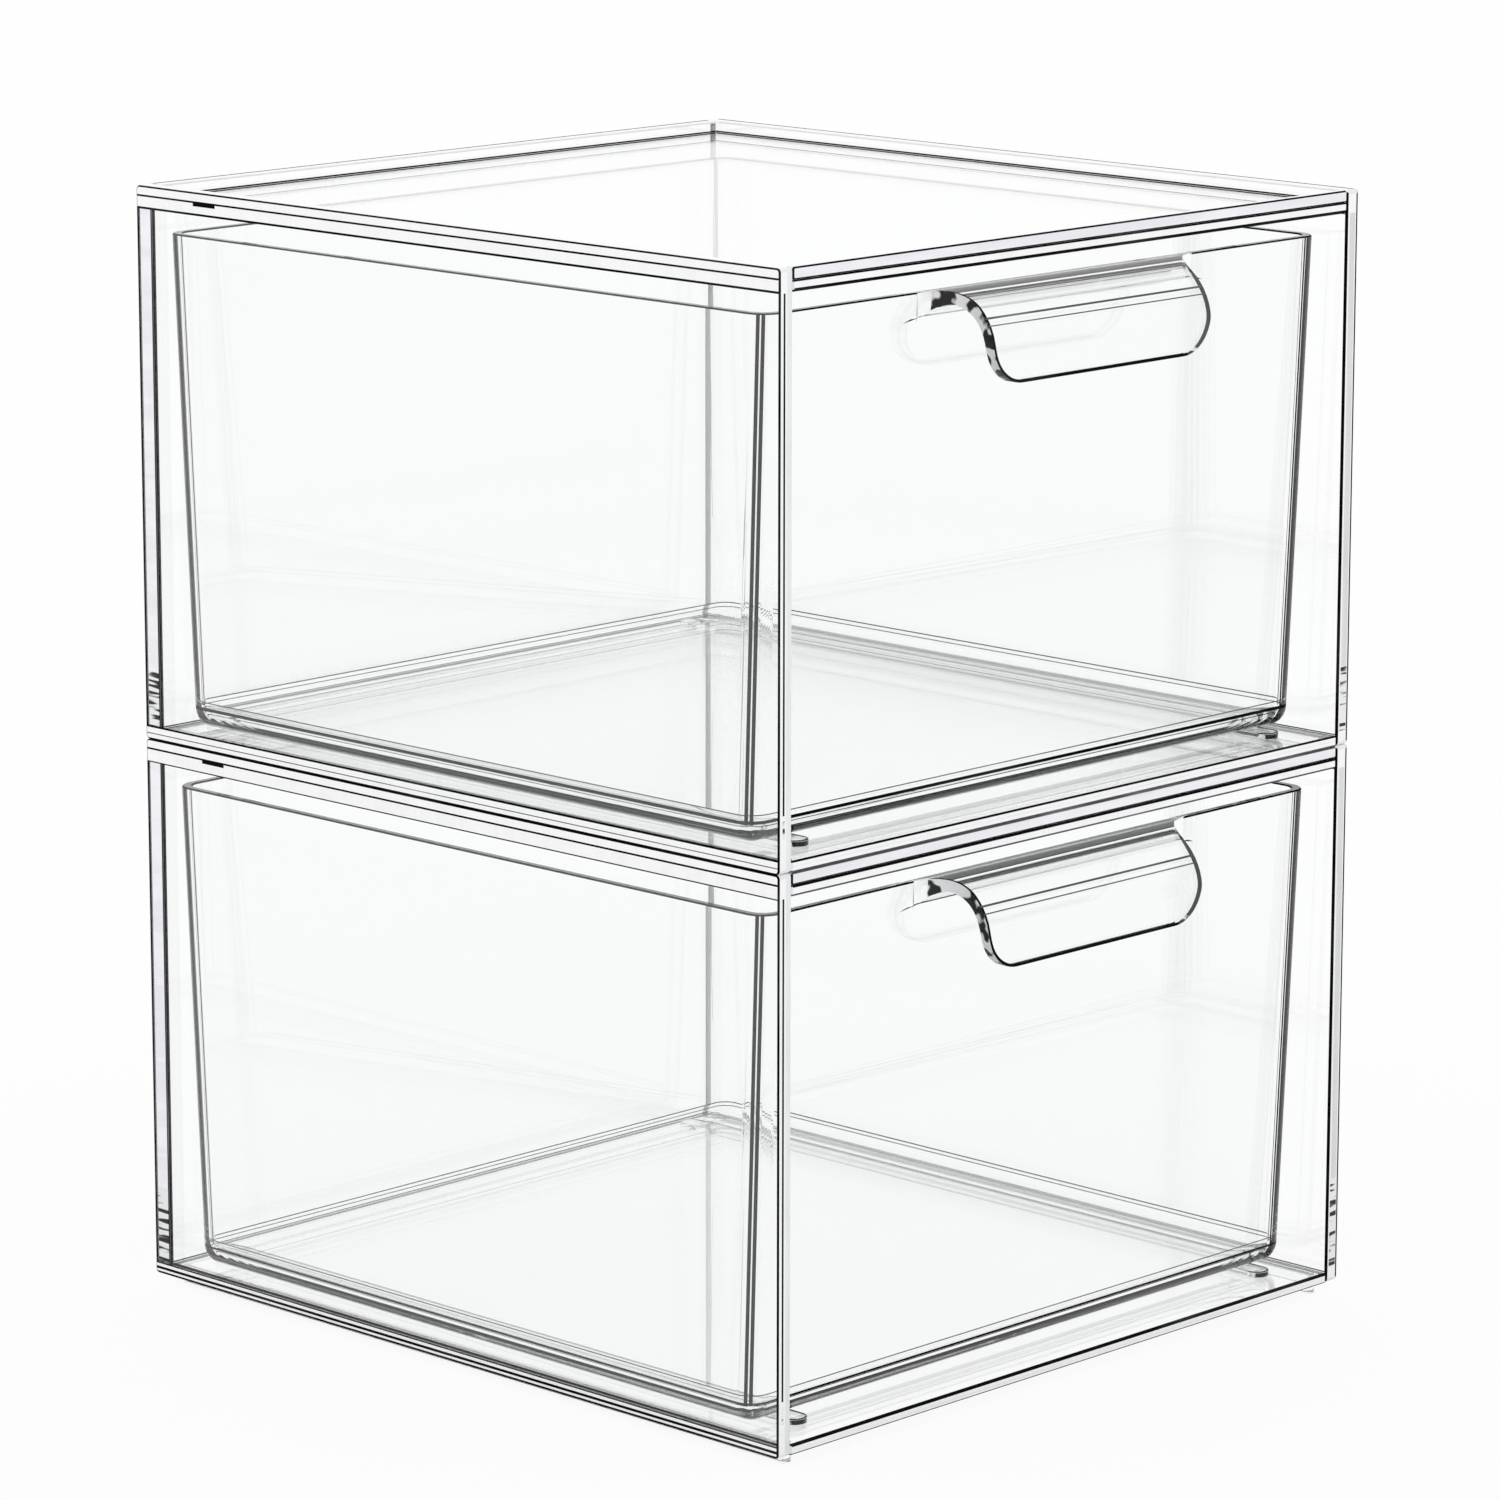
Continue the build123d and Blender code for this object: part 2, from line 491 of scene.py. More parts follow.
def mark(bm: bmesh.types.BMesh, look: Look, zone: Zone, spans: dict[int, Span]) -> None:
    """Paints a stretch of the flat faces that look one way with a zone whose colour is painted light or
    shade.

    Args:
        bm: The mesh.
        look: The way that they look.
        zone: The zone, whose colour is painted light or shade.
        spans: For each limited axis, from where to where, in metres.
    """
    for axis, places in spans.items():
        normal = Vector((0.0, 0.0, 0.0))
        normal[axis] = 1.0
        for place in places:
            cut(bm, faces_looking(bm, look), normal * place, normal)
    for face in faces_looking(bm, look):
        centre = face.calc_center_median()
        if all(start < centre[axis] < end for axis, (start, end) in spans.items()):
            face.material_index = zone


def finish_piece(bm: bmesh.types.BMesh, name: str, materials: list[bpy.types.Material],
                 smooth_angle: float = 24.0) -> bpy.types.Object:
    """Writes a mesh to a new object at the origin, smooth except at its arrises.

    Args:
        bm: The mesh, which is freed.
        name: The object's name.
        materials: Its materials, in the order of Zone.
        smooth_angle: Edges turn sharp past this angle, in degrees.

    Returns:
        The object.
    """
    bm.normal_update()
    for face in bm.faces:
        face.smooth = face.calc_area() < FLAT_AREA
    for edge in bm.edges:
        edge.smooth = len(edge.link_faces) == 2 and edge.calc_face_angle() < math.radians(smooth_angle)
    mesh = bpy.data.meshes.new(name)
    bm.to_mesh(mesh)
    bm.free()
    for material in materials:
        mesh.materials.append(material)
    piece = bpy.data.objects.new(name, mesh)
    bpy.context.scene.collection.objects.link(piece)
    return piece


def stand_for(piece: bpy.types.Object, node: str, body: str) -> None:
    """Puts a finished piece in a CAD node's place.

    Args:
        piece: The piece.
        node: The CAD node that it replaces.
        body: The body that it rides on.
    """
    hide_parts(node)
    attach(piece, body)
    log.info("%s rides on %s with %d faces", piece.name, body, len(piece.data.polygons))


def corners(node: str) -> tuple[Vector, Vector]:
    """A node's lowest and highest corners."""
    low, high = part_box(node)
    return Vector(low), Vector(high)


# The casing


@dataclass
class Plate:
    """One flat sheet in the making."""

    bm: bmesh.types.BMesh
    low: Vector
    high: Vector
    arrises: dict[Look, list[bmesh.types.BMFace]]

    @property
    def size(self) -> tuple[float, float, float]:
        """The sheet's size along X, Y and Z, in millimetres."""
        wide, deep, tall = ((end - start) / MM for start, end in zip(self.low, self.high))
        return wide, deep, tall

    def mark(self, look: Look, zone: Zone, x: Span | None = None, y: Span | None = None,
             z: Span | None = None) -> None:
        """Paints a stretch of the faces that look one way with a zone whose colour is painted light or shade.

        Args:
            look: The way that they look.
            zone: The zone, whose colour is painted light or shade.
            x: From where to where along X, in millimetres from the sheet's low side, or None for all of it.
            y: The same along Y.
            z: The same along Z.
        """
        spans = {axis: (self.low[axis] + span[0] * MM, self.low[axis] + span[1] * MM)
                 for axis, span in enumerate((x, y, z)) if span is not None}
        mark(self.bm, look, zone, spans)

    def mark_ends(self) -> None:
        """Paints the ends that are bonded to the side walls white: painted light."""
        self.mark(Look.LEFT, Zone.WHITE)
        self.mark(Look.RIGHT, Zone.WHITE)

    def at_end(self, face: bmesh.types.BMFace, end: Look) -> bool:
        """Whether a face lies at the end of the sheet that looks one way."""
        axis, sign = end.value
        limit = self.high[axis] if sign > 0 else self.low[axis]
        return abs(limit - face.calc_center_median()[axis]) < NEAR_END

    def mark_arrises(self, look: Look, zone: Zone, end: Look | None = None) -> None:
        """Paints the arrises round a broad face with a zone whose colour is painted light or shade.

        Args:
            look: The way that the broad face looks.
            zone: The zone, whose colour is painted light or shade.
            end: The end of the sheet at which they lie, or None for all of them.
        """
        for face in self.arrises[look]:
            if end is None or self.at_end(face, end):
                face.material_index = zone


@dataclass(frozen=True)
class UnitMarks:
    """The painted lines, bands and streaks on a casing that differ between the two units, in millimetres:
    painted light and shade for the joints and ribs that show through its walls.

    The streaks' heights are taken from the wall's foot, the top panel's joint from its top, and the rest from
    the low side of the piece.
    """

    left_streaks: float
    right_streaks: float
    panel_joint: Span
    floor_joints: tuple[tuple[float, float, Zone], ...]
    sill_band: Span


UNIT_MARKS = {
    Unit.LOWER: UnitMarks(
        left_streaks=18.5, right_streaks=22.0, panel_joint=(4.75, 4.5), sill_band=(0.7, 0.95),
        floor_joints=((0.0, 2.4, Zone.WHITE), (0.0, 0.55, Zone.LINE), (1.0, 1.55, Zone.LINE),
                      (2.15, 2.4, Zone.LINE))),
    Unit.UPPER: UnitMarks(
        left_streaks=14.0, right_streaks=16.0, panel_joint=(4.6, 4.15), sill_band=(1.0, 1.25),
        floor_joints=((0.0, 2.85, Zone.WHITE), (2.45, 2.85, Zone.LINE), (1.15, 1.35, Zone.FAINT))),
}


@dataclass(frozen=True)
class WallMarks:
    """The painted lines, bands and streaks on the walls that both units share, in millimetres: painted light
    and shade.
    """

    # On the left post's front edge, from its outer side and its foot
    left_white: Span = (0.2, 1.95)
    left_line: Span = (1.02, 1.5)
    left_line_foot: float = 11.0
    left_streak: Span = (1.02, 1.6)
    left_streak_rise: Span = (6.5, 10.0)
    # On the left wall's outer face, from its back edge, where the back wall is bonded on
    back_line: float = 0.72
    back_band: Span = (4.2, 1.1)
    back_joint: tuple[tuple[float, float, Zone], ...] = ((5.1, 4.8, Zone.LINE), (4.8, 4.45, Zone.FAINT),
                                                         (4.45, 4.2, Zone.LINE))
    # On the left wall's outer face, from its top, where the lip strip's line runs on
    lip_joint: Span = (2.15, 1.76)
    lip_streak: Span = (2.75, 2.15)
    lip_streak_run: Span = (23.5, 17.0)
    # On the right post's front edge, from its inner side
    right_shade: Span = (0.95, 2.6)
    right_streak: Span = (0.8, 2.75)
    right_line: float = 0.62
    # How high the streaks start on both posts
    streak_foot: float = 3.0
    # How wide the lines are along the walls' tops, and where the lip, the panels and the corner meet their
    # inner faces
    top_line: float = 1.1
    lip_line: float = 0.32
    panel_line: float = 0.2
    side_floor_line: float = 0.25
    back_floor_line: float = 0.3
    corner_line: float = 0.3


@dataclass
class Casing:
    """The five bonded sheets, the lip strip and the ribs of one unit."""

    unit: Unit
    finishes: Finishes
    marks: WallMarks = WallMarks()
    corner_round: float = 0.8 * MM
    corner_steps: int = 3
    arris_steps: int = 2
    thin: float = 0.32 * MM
    arris: float = 0.36 * MM
    thick: float = 0.46 * MM
    # The depth of the lip and the thickness of the panels, in millimetres
    lip: float = 2.4
    panel: float = 2.2
    # The painted dark lines on the front edges of the panels, in millimetres
    sill_line: float = 0.62
    sill_foot_line: float = 0.36
    panel_top_line: float = 0.5
    panel_foot_line: float = 0.72
    # The ribs: their ends, which stay just short of half round, their rims and the painted faint line along
    # each
    rib_end_share: float = 0.995
    rib_end_steps: int = 8
    rib_rim_steps: int = 4
    rib_edge: float = 0.7 * MM
    slide_rib_edge: float = 0.5 * MM
    # A slide rib's front rim is painted dark where its unit normal rises by more than this, and painted shade
    # below
    rib_rim_rise: float = 0.35
    rib_line: float = 0.9 * MM
    rib_smooth_angle: float = 50.0

    @property
    def body(self) -> str:
        """The body that the casing's pieces ride on."""
        return f"{self.unit.value}_casing"

    @property
    def is_lower(self) -> bool:
        """Whether this is the unit that stands on the floor."""
        return self.unit is Unit.LOWER

    @property
    def unit_marks(self) -> UnitMarks:
        """The marks that only this unit has."""
        return UNIT_MARKS[self.unit]

    def node(self, word: str) -> str:
        """The full name of one of the casing's nodes."""
        return f"{self.unit.value}_{word}"

    def plate(self, word: str, looks: tuple[Look, Look], widths: tuple[float, float],
              round_axis: int | None = None, shrink: tuple[float, float, float] = (0.0, 0.0, 0.0)) -> Plate:
        """Starts one flat sheet with polished arrises painted dark, and with its cut faces painted pale grey:
        painted shade and light.

        Args:
            word: The node's name without its unit.
            looks: The ways that its two broad faces look.
            widths: The width of the arrises round each broad face, in metres.
            round_axis: The axis along which its rounded corners run, or None for square ones.
            shrink: How much is taken off each end along X, Y and Z, where it is bonded to its neighbours.

        Returns:
            The sheet.
        """
        low, high = corners(self.node(word))
        gap = Vector(shrink)
        bm = block(low + gap, high - gap)
        if round_axis is not None:
            upright = [edge for edge in bm.edges if along(edge, round_axis)]
            bevel(bm, upright, self.corner_round, self.corner_steps)
        else:
            upright = [edge for edge in bm.edges if along(edge, looks[0].value[0])]
            bevel(bm, upright, min(widths), 1)
        for face in bm.faces:
            face.material_index = Zone.CUT
        arrises = {}
        for look, width in zip(looks, widths):
            broad = max(faces_looking(bm, look), key=lambda face: face.calc_area())
            broad.material_index = Zone.FACE
            strips = bevel(bm, list(broad.edges), width, self.arris_steps)
            for face in strips:
                face.material_index = Zone.LINE
            arrises[look] = strips
        return Plate(bm, low, high, arrises)

    def finish_plate(self, plate: Plate, word: str) -> None:
        """Puts a finished sheet in its node's place."""
        piece = finish_piece(plate.bm, f"{self.node(word)}_sheet", self.finishes.for_sheet())
        stand_for(piece, self.node(word), self.body)

    def left_wall(self) -> None:
        """Builds the left wall, with its post's painted lines and streaks, and the joints that show on its
        outer face painted there: painted shade and light.
        """
        plate = self.plate("left_wall", (Look.LEFT, Look.RIGHT), (self.thin, self.thick), round_axis=0)
        plate.mark_arrises(Look.RIGHT, Zone.CUT, Look.FRONT)
        plate.mark_arrises(Look.RIGHT, Zone.WHITE, Look.TOP)
        marks, deep, tall = self.marks, plate.size[1], plate.size[2]
        under_panel = tall - self.lip - self.panel
        plate.mark(Look.FRONT, Zone.WHITE, x=marks.left_white)
        plate.mark(Look.FRONT, Zone.LINE, x=marks.left_line, z=(marks.left_line_foot, under_panel))
        plate.mark(Look.FRONT, Zone.STREAK, x=marks.left_streak, z=marks.left_streak_rise)
        plate.mark(Look.TOP, Zone.WHITE)
        plate.mark(Look.LEFT, Zone.LINE, y=(deep - marks.back_line, deep))
        band = (deep - marks.back_band[0], deep - marks.back_band[1])
        streaks = self.unit_marks.left_streaks
        plate.mark(Look.LEFT, Zone.BAND, y=band, z=(streaks, under_panel))
        plate.mark(Look.LEFT, Zone.STREAK, y=band, z=(marks.streak_foot, streaks))
        for start, end, zone in marks.back_joint:
            plate.mark(Look.LEFT, zone, y=(deep - start, deep - end), z=(self.panel, under_panel))
        self.joint_lines(plate)
        self.finish_plate(plate, "left_wall")

    def joint_lines(self, plate: Plate) -> None:
        """Paints the joints of the lip, the top panel and the floor panel, seen through the left wall, on its
        outer face as dark lines and white bands: painted shade and light.

        Args:
            plate: The left wall.
        """
        marks, deep, tall = self.marks, plate.size[1], plate.size[2]

        def from_top(span: Span) -> Span:
            return tall - span[0], tall - span[1]

        plate.mark(Look.LEFT, Zone.WHITE, z=(tall - self.lip - self.panel, tall))
        plate.mark(Look.LEFT, Zone.LINE, z=from_top(marks.lip_joint))
        run = (deep - marks.lip_streak_run[0], deep - marks.lip_streak_run[1])
        plate.mark(Look.LEFT, Zone.LINE, y=run, z=from_top(marks.lip_streak))
        plate.mark(Look.LEFT, Zone.LINE, z=from_top(self.unit_marks.panel_joint))
        for start, end, zone in self.unit_marks.floor_joints:
            plate.mark(Look.LEFT, zone, z=(start, end))

    def right_wall(self) -> None:
        """Builds the right wall, with its post's painted shade, streaks and lines, and the painted lines on
        its inner face.
        """
        plate = self.plate("right_wall", (Look.RIGHT, Look.LEFT), (self.thin, self.thick), round_axis=0)
        plate.mark_arrises(Look.LEFT, Zone.WHITE, Look.TOP)
        marks, wide, tall = self.marks, plate.size[0], plate.size[2]
        under_panel = tall - self.lip - self.panel
        streaks = self.unit_marks.right_streaks
        plate.mark(Look.FRONT, Zone.WHITE)
        plate.mark(Look.FRONT, Zone.SHADE, x=marks.right_shade, z=(streaks, under_panel))
        plate.mark(Look.FRONT, Zone.STREAK, x=marks.right_streak, z=(marks.streak_foot, streaks))
        plate.mark(Look.FRONT, Zone.LINE, x=(wide - marks.right_line, wide))
        plate.mark(Look.TOP, Zone.WHITE)
        plate.mark(Look.TOP, Zone.LINE, x=(wide - marks.top_line, wide))
        plate.mark(Look.LEFT, Zone.LINE, z=(tall - self.lip, tall - self.lip + marks.lip_line))
        plate.mark(Look.LEFT, Zone.FAINT, z=(under_panel - marks.panel_line, under_panel))
        plate.mark(Look.LEFT, Zone.FAINT, z=(self.panel, self.panel + marks.side_floor_line))
        self.finish_plate(plate, "right_wall")

    def back_wall(self) -> None:
        """Builds the back wall."""
        plate = self.plate("back_wall", (Look.FRONT, Look.BACK), (self.thick, self.thin),
                           shrink=(JOINT_GAP, 0.0, 0.0))
        plate.mark_arrises(Look.FRONT, Zone.WHITE, Look.TOP)
        for face in plate.bm.faces:
            if plate.at_end(face, Look.RIGHT):
                face.material_index = Zone.WHITE
        marks, (wide, thick, tall) = self.marks, plate.size
        under_panel = tall - self.lip - self.panel
        plate.mark_ends()
        plate.mark(Look.TOP, Zone.WHITE)
        plate.mark(Look.TOP, Zone.LINE, y=(thick - marks.top_line, thick))
        plate.mark(Look.FRONT, Zone.LINE, z=(tall - self.lip, tall - self.lip + marks.lip_line))
        plate.mark(Look.FRONT, Zone.FAINT, z=(under_panel - marks.panel_line, under_panel))
        plate.mark(Look.FRONT, Zone.FAINT, z=(self.panel, self.panel + marks.back_floor_line))
        plate.mark(Look.FRONT, Zone.FAINT, x=(wide - marks.corner_line, wide), z=(0.0, under_panel))
        self.finish_plate(plate, "back_wall")

    def floor_panel(self) -> None:
        """Builds the floor panel, whose front edge is the sill under the drawer."""
        plate = self.plate("floor_panel", (Look.TOP, Look.FOOT), (self.arris, self.thin),
                           shrink=(JOINT_GAP, JOINT_GAP, 0.0))
        plate.mark(Look.FRONT, Zone.WHITE)
        plate.mark_ends()
        plate.mark(Look.FRONT, Zone.BAND, z=self.unit_marks.sill_band)
        if self.is_lower:
            plate.mark(Look.FRONT, Zone.LINE, z=(self.panel - self.sill_line, self.panel))
        else:
            plate.mark_arrises(Look.FOOT, Zone.FAINT)
            plate.mark(Look.FRONT, Zone.FAINT, z=(0.0, self.sill_foot_line))
        self.finish_plate(plate, "floor_panel")

    def top_panel(self) -> None:
        """Builds the top panel, whose front edge carries the heavy painted dark line over the drawer: painted
        shade.
        """
        plate = self.plate("top_panel", (Look.TOP, Look.FOOT), (self.thin, self.thick),
                           shrink=(JOINT_GAP, JOINT_GAP, 0.0))
        plate.mark(Look.FRONT, Zone.WHITE)
        plate.mark_ends()
        if self.is_lower:
            plate.mark(Look.FRONT, Zone.LINE, z=(self.panel - self.panel_top_line, self.panel))
            plate.mark_arrises(Look.FOOT, Zone.FAINT, Look.FRONT)
            plate.mark(Look.FRONT, Zone.FAINT, z=(0.0, self.panel_top_line))
        else:
            plate.mark(Look.FRONT, Zone.LINE, z=(0.0, self.panel_foot_line))
        self.finish_plate(plate, "top_panel")

    def front_lip(self) -> None:
        """Builds the lip strip."""
        plate = self.plate("front_lip", (Look.FRONT, Look.BACK), (self.thin, self.thin),
                           shrink=(JOINT_GAP, 0.0, JOINT_GAP))
        plate.mark(Look.FRONT, Zone.BAND)
        plate.mark(Look.TOP, Zone.WHITE)
        plate.mark_ends()
        plate.mark(Look.BACK, Zone.BAND)
        plate.mark_arrises(Look.BACK, Zone.FAINT)
        if self.is_lower:
            plate.mark_arrises(Look.FRONT, Zone.FAINT, Look.TOP)
        self.finish_plate(plate, "front_lip")

    def rib(self, word: str, free: Look, edge: float) -> None:
        """Builds one round-ended bar.

        Args:
            word: The node's name without its unit.
            free: The way that its free side looks.
            edge: How much its free side's rim is rounded, in metres.
        """
        low, high = corners(self.node(word))
        gap = Vector((0.0, 0.0, JOINT_GAP))
        is_slide = free is Look.TOP
        bm = block(low + (gap if is_slide else Vector()), high - gap)
        half = (high.x - low.x) / 2
        uprights = [corner for corner in bm.edges if along(corner, 2)]
        bevel(bm, uprights, half * self.rib_end_share, self.rib_end_steps)
        rims = list(dict.fromkeys(rim for face in faces_looking(bm, free) for rim in face.edges))
        # The slide rib's front rim is painted dark on top and shaded below, and a faint line is painted along
        # the free side: painted shade
        for face in bevel(bm, rims, edge, self.rib_rim_steps):
            if is_slide and face.calc_center_median().y < low.y + half:
                face.material_index = Zone.LINE if face.normal.z > self.rib_rim_rise else Zone.SHADE
        mark(bm, free, Zone.FAINT, {0: (high.x - self.rib_line, high.x)})
        piece = finish_piece(bm, f"{self.node(word)}_bar", self.finishes.for_rib(), self.rib_smooth_angle)
        stand_for(piece, self.node(word), self.body)

    def ribs(self, side: Side) -> None:
        """Builds the two ribs of one side."""
        self.rib(f"{side.word}_stacking_rib", Look.FOOT, self.rib_edge)
        self.rib(f"{side.word}_slide_rib", Look.TOP, self.slide_rib_edge)

    def build(self) -> None:
        """Builds the casing's pieces."""
        self.left_wall()
        self.ribs(Side.LEFT)
        self.right_wall()
        self.ribs(Side.RIGHT)
        self.back_wall()
        self.floor_panel()
        self.top_panel()
        self.front_lip()


# The drawer


@dataclass(frozen=True)
class CornerLine:
    """One painted line, black or grey, down a rounded corner of the tray, along its lean, where the corner's
    refraction shows dark: painted shade.

    The turn says where on the corner it runs, in degrees from the side wall's normal towards the end wall's.
    The lift is how far above the tray's foot it ends, and aside is how far past the corner's start it lies on
    the end wall. Sizes are in millimetres.
    """

    side: Side
    end: End
    turn: float
    width: float
    zone: Zone
    lift: float
    aside: float = 0.0


CORNER_LINES = (
    CornerLine(Side.LEFT, End.FRONT, 30.0, 0.72, Zone.LINE, 3.6),
    CornerLine(Side.LEFT, End.FRONT, 43.6, 0.72, Zone.LINE, 3.6),
    CornerLine(Side.RIGHT, End.FRONT, 90.0, 0.45, Zone.LINE, 4.2, aside=0.5),
    CornerLine(Side.RIGHT, End.FRONT, 61.5, 0.5, Zone.FAINT, 3.0),
    CornerLine(Side.LEFT, End.BACK, 35.0, 0.5, Zone.LINE, 3.6),
    CornerLine(Side.LEFT, End.BACK, 55.0, 0.4, Zone.FAINT, 3.6),
)
# The tilts of the tray's walls, of the rounding at their foot and of its lowest part, in degrees
WALL_TILTS = (-15.0, 15.0)
ROUNDING_TILTS = (-80.0, -15.0)
LOWEST_TILTS = (-88.0, -50.0)


@dataclass
class Drawer:
    """One moulded tray with its waterfall pull, painted with the lines that its rounded corners, foot, rim
    and pull show: painted shade and reflections.
    """

    unit: Unit
    finishes: Finishes
    nodes: dict[str, bpy.types.Object]
    merge: float = 0.002 * MM
    flat_angle: float = 0.8
    corner: float = 4.2 * MM
    corner_reach: float = 8.0 * MM
    # A corner's faces look this much its way, and no more than this up or down
    corner_facing: float = 0.8
    corner_tilt: float = 0.2
    side_lean: float = 0.85 * MM
    end_lean: float = 3.85 * MM
    # How far down the rim's roundings reach, and how much they look up or down
    rim: float = 0.31 * MM
    rim_tilt: Span = (0.2, 0.97)
    # Where the foot's outer and inner roundings begin, above the tray's foot in millimetres
    outer_rounding: float = 3.75
    inner_rounding: float = 5.1
    # The widths of the painted lines there, and the places of two more painted lines on the outer rounding
    lower_foot_line: float = 0.45
    upper_foot_line: float = 0.65
    inner_foot_line: float = 0.22
    faint_foot_line: float = 0.25
    middle_line: Span = (1.08, 1.3)
    lowest_line: Span = (0.12, 0.28)
    # A face further than this from the tray's middle belongs to that side
    wall_reach: float = 70.0 * MM
    # How far the pull reaches in front of the front wall, the gap left there, and how far it hangs down
    pull_reach: float = 12.0 * MM
    pull_gap: float = 0.1 * MM
    pull_drop: float = 18.0 * MM
    pull_foot: float = 16.4 * MM
    pull_outline: float = 0.6 * MM
    pull_inline: float = 0.45 * MM
    pull_root: float = 0.9 * MM
    pull_outline_end: float = 24.0 * MM
    # What tells the pull's faces apart, in parts of their unit normals: its two edges by X, its foot by Z,
    # its broad faces by X, their outer side by Y or Z, and the front of its bend by Y
    pull_left: float = -0.4
    pull_right: float = 0.5
    pull_down: float = -0.7
    pull_broad: float = 0.1
    pull_outer_front: float = -0.05
    pull_outer_top: float = 0.5
    bend_front: float = -0.2
    # The painted reflections along the pull's bend: how far each lies below the rim, and its width, in
    # millimetres
    bend_lines: tuple[Span, ...] = ((4.6, 0.35), (6.0, 0.22))

    @property
    def node(self) -> str:
        """The tray's node."""
        return f"{self.unit.value}_drawer"

    def merged(self) -> bmesh.types.BMesh:
        """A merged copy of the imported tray, with its flat faces whole."""
        bm = bmesh.new()
        bm.from_mesh(self.nodes[self.node].data)
        bmesh.ops.remove_doubles(bm, verts=bm.verts, dist=self.merge)
        bmesh.ops.dissolve_limit(
            bm, angle_limit=math.radians(self.flat_angle), verts=bm.verts, edges=bm.edges)
        bm.normal_update()
        return bm

    def corner_line(self, bm: bmesh.types.BMesh, line: CornerLine) -> None:
        """Paints a line down one of the tray's rounded corners: painted shade.

        Args:
            bm: The tray.
            line: The line.
        """
        low, high = corners(self.node)
        half, tall, width = (high.x - low.x) / 2, high.z - low.z, line.width * MM
        end = high.y if line.end is End.BACK else low.y + self.pull_reach
        angle = math.radians(line.turn)
        out = Vector((line.side * math.cos(angle), line.end * math.sin(angle), 0.0))
        beside = half - self.corner - line.aside * MM
        centre = Vector((line.side * beside, end - line.end * self.corner, high.z))
        top = centre + out * self.corner
        foot = top - Vector((line.side * self.side_lean, line.end * self.end_lean, tall))
        across = (foot - top).cross(out).normalized()

        def near(face: bmesh.types.BMFace) -> bool:
            gap = face.calc_center_median() - centre
            close = gap.x * line.side > -half and gap.y * line.end > -self.corner_reach
            facing = face.normal.dot(out) > self.corner_facing
            return facing and abs(face.normal.z) < self.corner_tilt and close

        for offset in (-width / 2, width / 2):
            cut(bm, [face for face in bm.faces if near(face)], top + across * offset, across)
        floor = Vector((0.0, 0.0, low.z + line.lift * MM))
        cut(bm, [face for face in bm.faces if near(face)], floor, UP)
        for face in bm.faces:
            middle = face.calc_center_median()
            if near(face) and abs((middle - top).dot(across)) < width / 2 and middle.z > floor.z:
                face.material_index = line.zone

    def foot_line(self, bm: bmesh.types.BMesh, outside: bool, heavy: bool, span: Span, zone: Zone,
                  tilts: Span = WALL_TILTS) -> None:
        """Paints a level line round part of the tray's foot: painted shade.

        Args:
            bm: The tray.
            outside: Whether it lies on the outer faces.
            heavy: Whether it runs along the front and the left, or else along the back and the right.
            span: From where to where above the tray's foot, in millimetres.
            zone: Its zone, whose colour is painted shade.
            tilts: The least and greatest tilt of the faces that carry it, in degrees.
        """
        low, high = corners(self.node)
        middle = (low + high) / 2
        middle.y = (low.y + self.pull_reach + high.y) / 2

        def chosen(face: bmesh.types.BMFace) -> bool:
            centre, normal = face.calc_center_median() - middle, face.normal
            tilt = math.degrees(math.asin(max(-1.0, min(1.0, normal.z))))
            near = centre.y < -self.wall_reach or centre.x < -self.wall_reach
            away = centre.x * normal.x + centre.y * normal.y > 0.0
            return tilts[0] < tilt < tilts[1] and near == heavy and away == outside

        for place in span:
            level = Vector((0.0, 0.0, low.z + place * MM))
            cut(bm, [face for face in bm.faces if chosen(face)], level, UP)
        for face in bm.faces:
            height = (face.calc_center_median().z - low.z) / MM
            if span[0] < height < span[1] and chosen(face):
                face.material_index = zone

    def foot_lines(self, bm: bmesh.types.BMesh) -> None:
        """Paints the lines along the rounded foot, heavy in front and on the left, faint elsewhere: painted
        shade.
        """
        outer, inner = self.outer_rounding, self.inner_rounding
        heavy = self.lower_foot_line if self.unit is Unit.LOWER else self.upper_foot_line
        self.foot_line(bm, True, True, (outer, outer + heavy), Zone.LINE)
        self.foot_line(bm, False, True, (inner, inner + self.inner_foot_line), Zone.FAINT)
        self.foot_line(bm, True, True, self.middle_line, Zone.FAINT, ROUNDING_TILTS)
        self.foot_line(bm, True, True, self.lowest_line, Zone.LINE, LOWEST_TILTS)
        self.foot_line(bm, True, False, (outer, outer + self.faint_foot_line), Zone.FAINT)
        self.foot_line(bm, False, False, (inner, inner + self.faint_foot_line), Zone.FAINT)

    def pull_lines(self, bm: bmesh.types.BMesh) -> None:
        """Paints the pull's rim dark, its left edge with dark bars and highlights, and thin lines along its
        bend: painted shade, highlights and reflections.
        """
        low, high = corners(self.node)
        reach = low.y + self.pull_reach - self.pull_gap

        def on_pull(face: bmesh.types.BMFace) -> bool:
            centre = face.calc_center_median()
            return centre.y < reach and centre.z > high.z - self.pull_drop

        def is_outer(face: bmesh.types.BMFace) -> bool:
            return face.normal.y < self.pull_outer_front or face.normal.z > self.pull_outer_top

